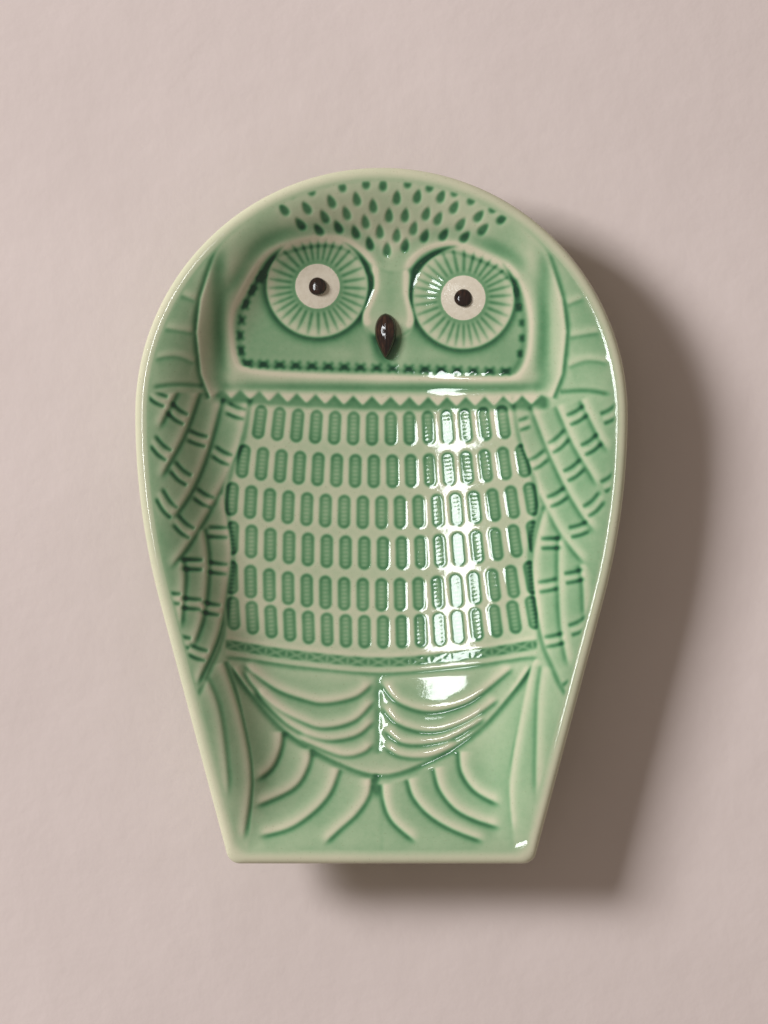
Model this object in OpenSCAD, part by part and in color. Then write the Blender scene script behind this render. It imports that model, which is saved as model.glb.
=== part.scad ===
// Owl-shaped shallow serving dish in relief-moulded stoneware.
// Millimetres. The dish lies on its foot ring with the open face up (+Z), the owl's head
// towards +Y, and the origin under the middle of its outline on the plane that it rests on.

/* [Dish] */
// Width across the owl's shoulders
dish_w = 177; // [160:1:195]
// Length from the crown to the tail edge
dish_l = 250; // [236:1:262]
// Height of the rim above the table
rim_z = 30; // [26:1:36]
// Width of the plain rounded lip, in to where the relief starts
lip_w = 6.5; // [5.8:0.1:7]
// Thickness of the clay in the middle of the floor
floor_t = 4.5; // [4:0.5:6]

/* [Foot] */
// Height of the foot ring
foot_h = 5; // [4:0.5:6]
// Width of the foot ring's tread
foot_w = 3.5; // [3:0.5:5]
// Distance from the dish's outline in to the foot ring
foot_inset = 41; // [40:1:43]

/* [Relief] */
// How far the head hood stands proud of the dish
hood_h = 2.6; // [2:0.1:3.2]
// How far the face panel stands proud
face_h = 1.6; // [1.2:0.1:2]
// How far the nose bridge and brows stand proud
bridge_h = 3.2; // [2.6:0.1:3.8]
// How far the eye rosettes stand proud
rosette_h = 2.2; // [1.8:0.1:2.6]
// How far the wings stand proud
wing_h = 2.2; // [1.6:0.1:2.6]
// How far the breast panel stands proud
breast_h = 1.8; // [1.4:0.1:2.2]
// How far the belly feathers and the breast hem stand proud
belly_h = 2; // [1.6:0.1:2.4]
// How far the tail fan and the flank feathers stand proud
tail_h = 1.2; // [0.8:0.1:1.6]
// Half the width of the line that parts neighbouring pieces of relief
seam = 0.1; // [0.05:0.05:0.3]

/* [Face] */
// Radius of the white of an eye
white_r = 8.1; // [7:0.1:9]
// Radius of a pupil
pupil_r = 3; // [2.5:0.1:3.5]
// How far the beak stands proud of the dish
beak_h = 5.2; // [4:0.1:6]

/* [Hidden] */
$fn = 48;

// Glaze colours
pale_glaze = [0.72, 0.76, 0.62];
mid_glaze = [0.52, 0.68, 0.54];
deep_glaze = [0.38, 0.57, 0.45];
white_slip = [0.86, 0.83, 0.76];
brown_glaze = [0.16, 0.09, 0.06];
bare_clay = [0.74, 0.70, 0.62];

// Outline: a half-circle crown, sides that curve into a straight taper, and a square tail
half_w = dish_w / 2;
half_l = dish_l / 2;
crown_y = half_l - half_w;      // height of the crown circle's centre
side_r = 262;                   // radius of the curve between shoulder and taper
taper = 14.9;                   // slope of the straight sides, in degrees from +Y
corner_r = 5;                   // radius of the tail's corners at the rim
corner_growth = 0.4;            // how much rounder the corners get for each mm inwards
side_end = [half_w - side_r * (1 - cos(taper)), crown_y - side_r * sin(taper)];

// Section: a rounded lip, a wall that falls away from it, and a floor that is a shallow bowl
floor_z = foot_h + floor_t;
crest_in = 2.5;                 // distance from the outline in to the top of the lip
lip_drop = 1.8;                 // how far the dish's outer edge lies under the top of the lip
wall_in = 38;                   // inset at which the inside wall has run out into the floor
wall_power = 3.2;
under_in = 40;                  // inset at which the outside wall meets the flat underside
under_power = 2;
floor_rise = [13, 8];           // how far the bowl rises out to the sides and to the two ends
fade_w = 9;                     // width over which the relief rises to its full height
fade_low = 0.25;                // share of its height that it has beside the lip

// Steps of the lofted surfaces
crown_n = 13;
side_n = 5;
straight_n = 5;
corner_n = 5;
tail_n = 3;
relief_insets = [lip_w, 9.5, 13.1, 17.3, 22.1, 28.1, wall_in];
floor_scales = [0.75, 0.5, 0.25];
lip_steps = 4;
outer_insets = [32, 25, 18.5, 12.5, 7, 3];

// Plan positions of the face's features
left_eye = [-23.1, 82.8];
right_eye = [29.5, 78.6];
rosette_r = 18.4;
beak_top = [1.5, 69.3];
beak_tip = [1.5, 57.6];
beak_r = 4.1;
beak_tip_r = 1.025;
white_step = 0.6;               // how far the white of an eye stands above its rosette

// ---- curves ----

function arc(c, r, a0, a1, n) = [for (i = [0:n]) let(a = a0 + (a1 - a0) * i / n) c + r * [cos(a), sin(a)]];

// A smooth curve through a few points (Catmull-Rom)
function through(p, n = 4) =
  let(last = len(p) - 1)
  [for (i = [0:last - 1], j = [0:n - 1])
     let(t = j / n,
         a = p[max(i - 1, 0)],
         b = p[i],
         c = p[i + 1],
         d = p[min(i + 2, last)])
     0.5 * (2 * b + (c - a) * t + (2 * a - 5 * b + 4 * c - d) * t * t + (3 * b - a - 3 * c + d) * t * t * t),
   p[last]];

function reversed(p) = [for (i = [len(p) - 1:-1:0]) p[i]];

function flipped(p) = [for (q = reversed(p)) [-q[0], q[1]]];

// Corner radius of the outline at an inset
function corner_at(inset) = corner_r + corner_growth * inset;

// Centre of the right tail corner's arc at an inset
function corner_centre(inset) =
  let(k = inset + corner_at(inset),
      y = k - half_l,
      n = [cos(taper), -sin(taper)])
  [(n * side_end - k + sin(taper) * y) / cos(taper), y];

// The right half of the outline at an inset, from the tail's middle up to the crown's middle
function right_half(inset) =
  let(c = corner_centre(inset),
      r = corner_at(inset),
      low = c + r * [cos(taper), -sin(taper)],
      high = side_end - inset * [cos(taper), -sin(taper)])
  concat(
    [for (i = [0:tail_n - 1]) [c[0] * i / tail_n, inset - half_l]],
    arc(c, r, -90, -taper, corner_n),
    [for (i = [1:straight_n - 1]) low + (high - low) * i / straight_n],
    arc([half_w - side_r, crown_y], side_r - inset, -taper, 0, side_n),
    [for (i = [1:crown_n]) [0, crown_y] + (half_w - inset) * [cos(90 * i / crown_n), sin(90 * i / crown_n)]]
  );

// The whole outline at an inset, anticlockwise; every inset gives the same number of points
function outline(inset) =
  let(right = right_half(inset), left = flipped(right))
  concat(right, [for (i = [1:len(left) - 2]) left[i]]);

// ---- the dish's section ----

function floor_at(p) = floor_z + floor_rise[0] * pow(p[0] / half_w, 2) + floor_rise[1] * pow(p[1] / half_l, 2);

// Height of the inside surface at a plan point whose inset from the outline is known:
// level on the lip's crest, steepest on the wall, and level again where it meets the floor
function inside_z(p, inset) =
  let(s = min(1, (inset - crest_in) / (wall_in - crest_in)), f = floor_at(p))
  f + (rim_z - f) * pow(1 - s, wall_power) * (1 + wall_power * s);

function outside_z(inset) = foot_h + (rim_z - lip_drop - foot_h) * pow(1 - min(1, inset / under_in), under_power);

function at_z(p, z) = [p[0], p[1], z];

// Share of its full height that the relief has at an inset
function fade(inset) = fade_low + (1 - fade_low) * min(1, (inset - lip_w) / fade_w);

// One ring of the inside surface, raised by a relief height
function inner_ring(inset, h) = [for (p = outline(inset)) at_z(p, inside_z(p, inset) + h * fade(inset))];

// A ring of the floor: the innermost outline drawn in towards its middle
function floor_ring(scale, h) = [for (p = outline(wall_in)) at_z(p * scale, floor_at(p * scale) + h)];

// The inside surface from the relief's outer edge in to the middle of the floor
function inner_rings(h) = concat([for (i = relief_insets) inner_ring(i, h)], [for (s = floor_scales) floor_ring(s, h)]);

// Side walls between rings that share a point count, from the first ring to the last
function walls(rings, count) =
  [for (k = [0:rings - 2], i = [0:count - 1])
     let(a = k * count + i, b = k * count + (i + 1) % count)
     [a, b, b + count, a + count]];

function triangles(quads) = [for (q = quads, t = [[q[0], q[1], q[2]], [q[0], q[2], q[3]]]) t];

// A fan of triangles from the last ring to a point
function cap(first, count, tip) = [for (i = [0:count - 1]) [first + i, first + (i + 1) % count, tip]];

function flat(rings) = [for (r = rings, p = r) p];

// Closes a stack of rings with a point at each end
module loft(rings, start, end) {
  count = len(rings[0]);
  total = len(rings) * count;
  start_cap = [for (t = cap(0, count, total)) [t[1], t[0], t[2]]];
  end_cap = cap(total - count, count, total + 1);
  polyhedron(concat(flat(rings), [start, end]),
             concat(triangles(walls(len(rings), count)), start_cap, end_cap), convexity = 6);
}

// The layer of clay between two heights above the inside surface
module layer(low, high) {
  down = inner_rings(low);
  up = inner_rings(high);
  loft(concat(reversed(down), up),
       at_z([0, 0], floor_z + low), at_z([0, 0], floor_z + high));
}

// A sprig: the part of a layer that lies over a plan shape, kept as one mesh at its own size
module sprig(h) {
  resize([0, 0, 0]) intersection() {
    linear_extrude(height = rim_z + hood_h) offset(delta = -seam) children();
    layer(0, h);
  }
}

module mirrored(side) {
  scale([side, 1, 1]) children();
}

// ---- plan shapes of the relief ----

beyond = 100;                   // a distance that clears the dish's sides

// The zigzag hem: teeth on a slightly sagging line from the left to the right
hem_left = -57.6;
hem_right = 57.6;
hem_teeth = 17;
tooth_depth = 3.2;
function hem_y(x) = 40 + 1.2 * pow(x / 50, 2) - 0.02 * x;
function hem_points() =
  [for (i = [0:2 * hem_teeth])
     let(x = hem_left + (hem_right - hem_left) * i / (2 * hem_teeth))
     [x, hem_y(x) + (i % 2 == 0 ? tooth_depth : 0)]];

hood_side = [[44, 120], [54, 103], [59.5, 95], [65, 78], [66.5, 66], [65, 51], [61.5, 42]];

module hood_shape() {
  polygon(concat([[0, 140]], hood_side, reversed(hem_points()), flipped(hood_side)));
}

face_top = [[-51.5, 54.5], [-53.6, 63], [-53, 74], [-44.4, 90], [-36.8, 96.4], [-23.9, 99.6], [-14, 99],
            [-7.7, 95.4], [-3, 90.8], [3, 88.2], [9.5, 89], [13.8, 94.3], [20.3, 97], [28.9, 97], [44, 90.6],
            [49.4, 84.6], [52.6, 76], [53.7, 67.4], [52.6, 57.7], [50, 52], [46.2, 49.8]];
face_bottom = [[24.6, 49.8], [-18.5, 50.8], [-40, 51.8], [-47.6, 52.8]];

module face_shape() {
  polygon(concat(through(face_top, 2), face_bottom));
}

bridge_edge = [[-3.2, 91], [-2.6, 83], [-4.7, 77.4], [-6.8, 72.4], [-5.6, 67.4], [-1, 64.6], [5, 64.4],
               [9.8, 66.3], [11.8, 71], [9.9, 79], [9.2, 89]];

module bridge_shape() {
  polygon(through(bridge_edge, 3));
}

module beak_shape() {
  hull() {
    translate(beak_top) circle(beak_r);
    translate(beak_tip) circle(beak_tip_r);
  }
}

module rosette_shape(centre) {
  translate(centre) circle(rosette_r);
}

module white_shape(centre) {
  translate(centre) circle(white_r);
}

// Inner edge of a wing, from the hood down to the tip of its lowest feather
wing_edge = [[48, 44], [51.4, 24], [57, 10], [54.6, -9], [54.6, -21], [57.6, -42], [62, -54], [67, -64], [74, -70]];

module wing_shape() {
  difference() {
    polygon(concat([[beyond, 96], [50, 96]], through(wing_edge, 2), [[beyond, -70]]));
    hood_shape();
  }
}

hem_edge = [[-56, -44.5], [-31.6, -48.5], [0, -51.2], [31.6, -48.5], [56, -44.5]];
hem_band_w = 5.6;

module hem_shape() {
  top = through(hem_edge, 3);
  difference() {
    polygon(concat(top, [for (p = reversed(top)) p - [0, hem_band_w]]));
    wing_shape();
    mirror([1, 0]) wing_shape();
  }
}

module breast_shape() {
  difference() {
    polygon(concat(through(hem_edge, 3), [[60, 45], [-60, 45]]));
    wing_shape();
    mirror([1, 0]) wing_shape();
    hood_shape();
  }
}

// Lower edge of the belly feathers
belly_edge = [[-56, -51], [-47.5, -63], [-35, -77], [-18.5, -87.5], [0, -93.4], [18.5, -87.5], [35, -77],
              [47.5, -63], [56, -51]];

module belly_shape() {
  difference() {
    polygon(through(belly_edge, 3));
    hem_shape();
    wing_shape();
    mirror([1, 0]) wing_shape();
    upper_body();
  }
}

// Everything above the lower edge of the hem band
module upper_body() {
  top = through(hem_edge, 3);
  polygon(concat([for (p = top) p - [0, hem_band_w]], [[60, 0], [-60, 0]]));
}

// Inner edge of a flank's long feathers
flank_edge = [[55, -50], [49.5, -73], [46, -96], [49.3, -130]];
tail_edge_y = -130;
tail_top_y = -56;

module flank_shape() {
  difference() {
    polygon(concat([[beyond, -40], [55, -40]], through(flank_edge, 3), [[beyond, tail_edge_y]]));
    wing_shape();
    belly_shape();
    hem_shape();
  }
}

module tail_shape() {
  difference() {
    polygon([[0, tail_edge_y], [70, tail_edge_y], [70, tail_top_y], [0, tail_top_y]]);
    belly_shape();
    hem_shape();
    flank_shape();
    wing_shape();
    upper_body();
  }
}

// ---- the parts ----

// The fired clay body: lip, flared wall, floor and flat underside
module dish_body() {
  lip = [for (i = [1:lip_steps])
           let(a = 90 * i / lip_steps, inset = crest_in * (1 - cos(a)))
           [for (p = outline(inset)) at_z(p, rim_z - lip_drop * (1 - sin(a)))]];
  slope = inner_ring((crest_in + lip_w) / 2, 0);
  outer = [for (i = concat([under_in], outer_insets, [0])) [for (p = outline(i)) at_z(p, outside_z(i))]];
  color(mid_glaze)
    loft(concat(outer, lip, [slope], inner_rings(0)), at_z([0, 0], foot_h), at_z([0, 0], floor_z));
}

// The unglazed ring that the dish stands on
module foot_ring() {
  color(bare_clay)
    linear_extrude(height = foot_h)
      difference() {
        polygon(outline(foot_inset));
        polygon(outline(foot_inset + foot_w));
      }
}

module head_hood() {
  color(mid_glaze) sprig(hood_h) difference() {
    hood_shape();
    face_shape();
  }
}

module face_panel() {
  color(deep_glaze) sprig(face_h) difference() {
    face_shape();
    rosette_shape(left_eye);
    rosette_shape(right_eye);
    bridge_shape();
    beak_shape();
  }
}

module nose_bridge() {
  color(pale_glaze) sprig(bridge_h) difference() {
    intersection() {
      bridge_shape();
      face_shape();
    }
    rosette_shape(left_eye);
    rosette_shape(right_eye);
    beak_shape();
  }
}

module eye_rosette(centre) {
  color(pale_glaze) sprig(rosette_h) difference() {
    intersection() {
      rosette_shape(centre);
      face_shape();
    }
    white_shape(centre);
  }
}

module eye_white(centre) {
  color(white_slip) sprig(rosette_h + white_step) white_shape(centre);
}

// A domed bead that stands on the white of the eye
module pupil(centre) {
  color(brown_glaze) resize([0, 0, 0]) intersection() {
    translate(at_z(centre, floor_at(centre) + rosette_h + white_step)) sphere(pupil_r, $fn = 24);
    layer(rosette_h + white_step, rosette_h + pupil_r + 1);
  }
}

module beak() {
  color(brown_glaze) sprig(beak_h) beak_shape();
}

module breast_panel() {
  color(mid_glaze) sprig(breast_h) breast_shape();
}

module breast_hem() {
  color(pale_glaze) sprig(belly_h) hem_shape();
}

module belly_feathers() {
  color(pale_glaze) sprig(belly_h) belly_shape();
}

module wing(side) {
  color(mid_glaze) mirrored(side) sprig(wing_h) wing_shape();
}

module flank_feathers(side) {
  color(deep_glaze) mirrored(side) sprig(tail_h) flank_shape();
}

module tail_fan(side) {
  color(mid_glaze) mirrored(side) sprig(tail_h) tail_shape();
}

dish_body();
foot_ring();
head_hood();
face_panel();
nose_bridge();
eye_rosette(left_eye);  // left_eye_rosette
eye_rosette(right_eye);  // right_eye_rosette
eye_white(left_eye);  // left_eye_white
eye_white(right_eye);  // right_eye_white
pupil(left_eye);  // left_pupil
pupil(right_eye);  // right_pupil
beak();
wing(-1);  // left_wing
wing(1);  // right_wing
breast_panel();
breast_hem();
belly_feathers();
flank_feathers(-1);  // left_flank_feathers
flank_feathers(1);  // right_flank_feathers
tail_fan(-1);  // left_tail_fan
tail_fan(1);  // right_tail_fan
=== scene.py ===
"""The looks of an owl-shaped celadon dish, built round its CAD frame.

The pressed relief is one height map over the plan of the dish. It is drawn feature by feature in
millimetres, then cut along the borders of the CAD nodes into one closed piece for each of them.
The rim and underside, the foot ring, the beak and the pupils are lofted solids.
"""
import math

import bpy
import numpy as np
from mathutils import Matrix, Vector
from mathutils.geometry import delaunay_2d_cdt


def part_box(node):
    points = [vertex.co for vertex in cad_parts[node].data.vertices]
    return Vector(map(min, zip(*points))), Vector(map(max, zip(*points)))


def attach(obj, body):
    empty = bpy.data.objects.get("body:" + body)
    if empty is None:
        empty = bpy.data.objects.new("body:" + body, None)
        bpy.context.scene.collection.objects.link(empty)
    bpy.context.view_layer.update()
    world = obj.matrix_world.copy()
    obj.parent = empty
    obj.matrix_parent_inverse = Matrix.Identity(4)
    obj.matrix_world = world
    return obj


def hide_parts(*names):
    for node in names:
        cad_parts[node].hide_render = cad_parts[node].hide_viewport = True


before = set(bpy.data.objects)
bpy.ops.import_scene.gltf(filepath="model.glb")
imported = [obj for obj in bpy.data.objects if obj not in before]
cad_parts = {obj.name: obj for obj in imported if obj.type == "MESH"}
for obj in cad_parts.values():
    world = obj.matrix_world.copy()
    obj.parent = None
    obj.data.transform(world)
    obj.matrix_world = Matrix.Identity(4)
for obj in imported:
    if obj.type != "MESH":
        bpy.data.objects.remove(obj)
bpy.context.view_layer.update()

MM = 0.001


def box_mm(node):
    low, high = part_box(node)
    return np.array(low) / MM, np.array(high) / MM


# ---- sizes, from the CAD boxes where they give them ----

HALF_W, HALF_L, RIM_Z = box_mm("dish_body")[1]
FOOT_H = box_mm("foot_ring")[1][2]
CROWN_Y = HALF_L - HALF_W           # height of the crown circle's centre in the plan
SIDE_R = 262                        # radius of the curve between shoulder and taper
TAPER = math.radians(14.9)          # slope of the straight sides
CORNER_R = 5                        # radius of the tail's corners at the rim
CORNER_GROWTH = 0.4                 # how much rounder they get for each millimetre of inset
SIDE_END = (HALF_W - SIDE_R * (1 - math.cos(TAPER)), CROWN_Y - SIDE_R * math.sin(TAPER))

CREST_IN = 2.5                      # distance from the outline in to the top of the lip
LIP_DROP = 1.8                      # how far the outer edge lies under the top of the lip
FLOOR_Z = 9.5                       # height of the bowl's lowest point
FLOOR_RISE = (13, 8)                # how far the bowl rises out to its sides and its ends
WALL_IN = 38                        # inset at which the wall has run out into the bowl
WALL_POWER = 3.2                    # how quickly the wall falls away from the lip
UNDER_IN = 40                       # inset at which the outside wall meets the flat underside
UNDER_POWER = 2
FOOT_IN = 41                        # inset of the foot ring's outer side
FOOT_W = 3.5

STEP = 0.36                         # spacing of the height map
RELIEF_EDGE = 4.2                   # inset at which the relief pieces meet the lip
BED = 0.8                           # how deep the relief pieces sit below the inside surface
UNDER_BED = 1.2                     # how deep the hidden clay lies under them
HIDDEN_TINT = 0.45                  # depth of glaze on faces that no one sees

rng = np.random.default_rng(20)

# ---- curves and the outline ----


def through(points, per=8):
    """A smooth curve through a few points (Catmull-Rom)."""
    p = np.array(points, float)
    if len(p) < 3:
        return p
    p = np.vstack([p[:1], p, p[-1:]])
    t = np.linspace(0, 1, per, endpoint=False)[:, None]
    parts = [
        0.5 * (2 * b + (c - a) * t + (2 * a - 5 * b + 4 * c - d) * t**2 + (3 * b - a - 3 * c + d) * t**3)
        for a, b, c, d in zip(p, p[1:], p[2:], p[3:])
    ]
    return np.vstack(parts + [p[-1:]])


def arc(centre, radius, start, end, count):
    a = np.linspace(start, end, count)
    return np.column_stack([centre[0] + radius * np.cos(a), centre[1] + radius * np.sin(a)])


def mirrored(points):
    return np.array(points, float)[::-1] * (-1, 1)


def smooth(low, high, value):
    t = np.clip((value - low) / (high - low), 0, 1)
    return t * t * (3 - 2 * t)


def bell(value, width):
    """A soft bump, 1 where the value is 0."""
    return np.exp(-((value / width) ** 2))


def corner_of(inset):
    """Centre and radius of the right tail corner's arc at an inset."""
    radius = CORNER_R + CORNER_GROWTH * inset
    k = inset + radius
    y = k - HALF_L
    reach = math.cos(TAPER) * SIDE_END[0] - math.sin(TAPER) * SIDE_END[1]
    return (reach - k + math.sin(TAPER) * y) / math.cos(TAPER), y, radius


def outline(inset):
    """The dish's outline at an inset, anticlockwise; every inset gives as many points."""
    x, y, radius = corner_of(inset)
    tail = np.column_stack([np.linspace(0, x, 12, endpoint=False), np.full(12, inset - HALF_L)])
    corner = arc((x, y), radius, -math.pi / 2, -TAPER, 12)
    side = arc((HALF_W - SIDE_R, CROWN_Y), SIDE_R - inset, -TAPER, 0, 24)
    straight = np.linspace(corner[-1], side[0], 26)[1:-1]
    crown = arc((0, CROWN_Y), HALF_W - inset, 0, math.pi / 2, 56)[1:]
    right = np.vstack([tail, corner, straight, side, crown])
    return np.vstack([right, mirrored(right)[1:-1]])


def inset_at(x, y):
    """Distance in from the dish's outline, for points inside it."""
    x = np.abs(x)
    crown = HALF_W - np.hypot(x, y - CROWN_Y)
    bow_x = x - HALF_W + SIDE_R
    bow = SIDE_R - np.hypot(bow_x, y - CROWN_Y)
    straight = (SIDE_END[0] - x) * math.cos(TAPER) + (y - SIDE_END[1]) * math.sin(TAPER)
    in_bow = CROWN_Y - y <= bow_x * math.tan(TAPER)
    side = np.where(y >= CROWN_Y, crown, np.where(in_bow, bow, straight))
    tail = y + HALF_L
    high = np.minimum(side, tail)
    low = high - 2 * CORNER_R - 10
    for _ in range(20):
        mid = (low + high) / 2
        cx, cy, radius = corner_of(mid)
        qx, qy = x - cx, y - cy
        in_corner = (qx > 0) & (qx * math.sin(TAPER) + qy * math.cos(TAPER) < 0)
        room = np.where(in_corner, radius - np.hypot(qx, qy), np.minimum(side, tail) - mid)
        low = np.where(room >= 0, mid, low)
        high = np.where(room >= 0, high, mid)
    return np.minimum(low, WALL_IN + 5)


def inside_z(x, y, inset):
    floor = FLOOR_Z + FLOOR_RISE[0] * (x / HALF_W) ** 2 + FLOOR_RISE[1] * (y / HALF_L) ** 2
    s = np.clip((inset - CREST_IN) / (WALL_IN - CREST_IN), 0, 1)
    return floor + (RIM_Z - floor) * (1 - s) ** WALL_POWER * (1 + WALL_POWER * s)


def outside_z(inset):
    return FOOT_H + (RIM_Z - LIP_DROP - FOOT_H) * (1 - min(1, inset / UNDER_IN)) ** UNDER_POWER


# ---- the height map and its strokes ----

xs = np.arange(-int(HALF_W / STEP), int(HALF_W / STEP) + 1) * STEP
ys = np.arange(-int(HALF_L / STEP), int(HALF_L / STEP) + 1) * STEP
X, Y = np.meshgrid(xs, ys)
INSET = inset_at(X, Y)


def window(points, reach):
    """The part of the grid within reach of some points."""
    low = (np.min(points, 0) - reach - (xs[0], ys[0])) / STEP
    high = (np.max(points, 0) + reach - (xs[0], ys[0])) / STEP
    i0, j0 = np.maximum(low.astype(int), 0)
    i1, j1 = np.maximum(high.astype(int) + 2, 0)
    return slice(j0, j1), slice(i0, i1)


def measure(points, reach=9.0):
    """Signed distance (positive on the left), place along a line, its window and its length."""
    win = window(points, reach)
    gx, gy = X[win], Y[win]
    best = np.full(gx.shape, 1e9)
    side = np.zeros(gx.shape)
    along = np.zeros(gx.shape)
    length = 0.0
    for a, b in zip(points, points[1:]):
        dx, dy = b - a
        size = math.hypot(dx, dy)
        if size < 1e-9:
            continue
        px, py = gx - a[0], gy - a[1]
        t = np.clip((px * dx + py * dy) / size**2, 0, 1)
        off = np.hypot(px - t * dx, py - t * dy)
        near = off < best
        best[near] = off[near]
        side[near] = (np.sign(dx * py - dy * px) * off)[near]
        along[near] = (length + t * size)[near]
        length += size
    return win, side, along, length


def stroke(field, points, profile, ends=(2, 2), reach=9.0):
    """Adds a cross-section along a curve through the points, fading in and out over its ends."""
    line = through(points) if len(points) > 2 else np.array(points, float)
    win, side, along, length = measure(line, reach)
    fade = smooth(0, ends[0], along) * smooth(0, ends[1], length - along)
    field[win] += profile(side) * fade


def groove(depth, width, at=0.0):
    """A soft hollow along a stroke, or beside it on its left."""
    return lambda s: -depth * bell(s - at, width)


def ridge(height, width):
    return groove(-height, width)


def shingle(raised, rise=0.5, drop=0.8, up=2.6, down=1.1, run=4.5):
    """A feather's free edge: a plump lip on the raised side, and below it a groove that runs out."""

    def profile(s):
        s = s * raised
        step = 1 / (1 + np.exp(-(s - 0.1) / 0.28))
        high = rise * np.exp(-((np.maximum(s - 1, 0) / up) ** 2))
        below = np.minimum(s, 0)
        low = drop * (0.6 * bell(below, down) + 0.4 * np.exp(below / run))
        return step * high - (1 - step) * low

    return profile


def blurred(field, sigma):
    fy = np.fft.fftfreq(field.shape[0], STEP)[:, None]
    fx = np.fft.rfftfreq(field.shape[1], STEP)[None, :]
    gain = np.exp(-2 * (math.pi * sigma) ** 2 * (fx**2 + fy**2))
    return np.fft.irfft2(np.fft.rfft2(field) * gain, s=field.shape)


def local(centre, turn, reach):
    """Window and coordinates round a centre, turned clockwise by an angle."""
    win = window([centre], reach)
    dx, dy = X[win] - centre[0], Y[win] - centre[1]
    c, s = math.cos(turn), math.sin(turn)
    return win, c * dx - s * dy, s * dx + c * dy


# ---- plan shapes of the CAD nodes ----


def inward_of(polygon, reach=3.0):
    """Distance in from a closed polygon's edge, negative outside, exact only near the edge."""
    closed = np.vstack([polygon, polygon[:1]])
    hit = np.zeros(X.shape, bool)
    for (x0, y0), (x1, y1) in zip(closed, closed[1:]):
        if y0 != y1:
            hit ^= ((y0 > Y) != (y1 > Y)) & (X < (x1 - x0) * (Y - y0) / (y1 - y0) + x0)
    far = np.full(X.shape, reach)
    win, side, _, _ = measure(closed, reach)
    far[win] = np.minimum(np.abs(side), reach)
    return np.where(hit, far, -far)


def disc(centre, radius):
    return radius - np.hypot(X - centre[0], Y - centre[1])


HOOD_SIDE = [(44, 120), (54, 103), (59.5, 95), (65, 78), (66.5, 66), (65, 51), (61.5, 42)]
HEM_X = 57.6
HEM_TEETH = 17
TOOTH = 3.2
FACE_TOP = [
    (-51.5, 54.5), (-53.6, 63), (-53, 74), (-44.4, 90), (-36.8, 96.4), (-23.9, 99.6), (-14, 99),
    (-7.7, 95.4), (-3, 90.8), (3, 88.2), (9.5, 89), (13.8, 94.3), (20.3, 97), (28.9, 97), (44, 90.6),
    (49.4, 84.6), (52.6, 76), (53.7, 67.4), (52.6, 57.7), (50, 52), (46.2, 49.8),
]
FACE_BOTTOM = [(24.6, 49.8), (-18.5, 50.8), (-40, 51.8), (-47.6, 52.8)]
BROW_ENDS = [(-3.6, 91), (-2.6, 86)], [(9.2, 85.5), (9.8, 90.2)]
BRIDGE = [
    (-3.2, 91), (-2.6, 83), (-4.7, 77.4), (-6.8, 72.4), (-5.6, 67.4), (-1, 64.6), (5, 64.4),
    (9.8, 66.3), (11.8, 71), (9.9, 79), (9.2, 89),
]
WING_EDGE = [
    (48, 44), (51.4, 24), (57, 10), (54.6, -9), (54.6, -21), (57.6, -42), (62, -54), (67, -64), (74, -70),
]
HEM_EDGE = [(-56, -44.5), (-31.6, -48.5), (0, -51.2), (31.6, -48.5), (56, -44.5)]
HEM_BAND = 5.6
BELLY_SIDE = [(18.5, -87.5), (35, -77), (47.5, -63), (56, -51)]
BELLY_EDGE = [(-x, y) for x, y in reversed(BELLY_SIDE)] + [(0, -93.4)] + BELLY_SIDE
FLANK_EDGE = [(55, -50), (49.5, -73), (46, -96), (49.3, -130)]


def hem_y(x):
    """Height of the hood's hem in the plan."""
    return 40 + 1.2 * (x / 50) ** 2 - 0.02 * x


def eye_centre(side):
    low, high = box_mm(side + "_eye_white")
    return (low + high)[:2] / 2, (high - low)[0] / 2


LEFT_EYE, WHITE_R = eye_centre("left")
RIGHT_EYE, _ = eye_centre("right")
ROSETTE_R = box_mm("right_eye_rosette")[1][0] - RIGHT_EYE[0]


def hood_outline():
    x = np.linspace(-HEM_X, HEM_X, 2 * HEM_TEETH + 1)
    hem = np.column_stack([x, hem_y(x)])
    hem[::2, 1] += TOOTH
    return np.vstack([[(0, 140)], HOOD_SIDE, hem[::-1], mirrored(HOOD_SIDE)])


def wing_outline():
    return np.vstack([[(100, 104), (50, 104)], through(WING_EDGE, 4), [(100, -70)]])


def plan_shapes():
    """Each relief node with how far a point lies inside its plan; earlier ones win."""
    face = inward_of(np.vstack([through(FACE_TOP, 4), FACE_BOTTOM]))
    bridge = inward_of(through(BRIDGE + BRIDGE[:1], 4)[:-1])
    hem = through(HEM_EDGE, 6)
    band = inward_of(np.vstack([hem, hem[::-1] - (0, HEM_BAND)]))
    flank = np.vstack([[(100, -40), (55, -40)], through(FLANK_EDGE, 4), [(100, -130)]])
    tail = np.array([(0, -130), (0, -30), (100, -30), (100, -130)])
    return {
        "left_eye_white": disc(LEFT_EYE, WHITE_R),
        "right_eye_white": disc(RIGHT_EYE, WHITE_R),
        "left_eye_rosette": np.minimum(disc(LEFT_EYE, ROSETTE_R), face),
        "right_eye_rosette": np.minimum(disc(RIGHT_EYE, ROSETTE_R), face),
        "nose_bridge": np.minimum(bridge, face),
        "face_panel": face,
        "head_hood": inward_of(hood_outline()),
        "left_wing": inward_of(mirrored(wing_outline())),
        "right_wing": inward_of(wing_outline()),
        "breast_hem": band,
        "breast_panel": inward_of(np.vstack([hem, [(60, 45), (-60, 45)]])),
        "belly_feathers": inward_of(through(BELLY_EDGE, 6)),
        "left_flank_feathers": inward_of(mirrored(flank)),
        "right_flank_feathers": inward_of(flank),
        "left_tail_fan": inward_of(mirrored(tail)),
        "right_tail_fan": inward_of(tail),
    }


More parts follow.
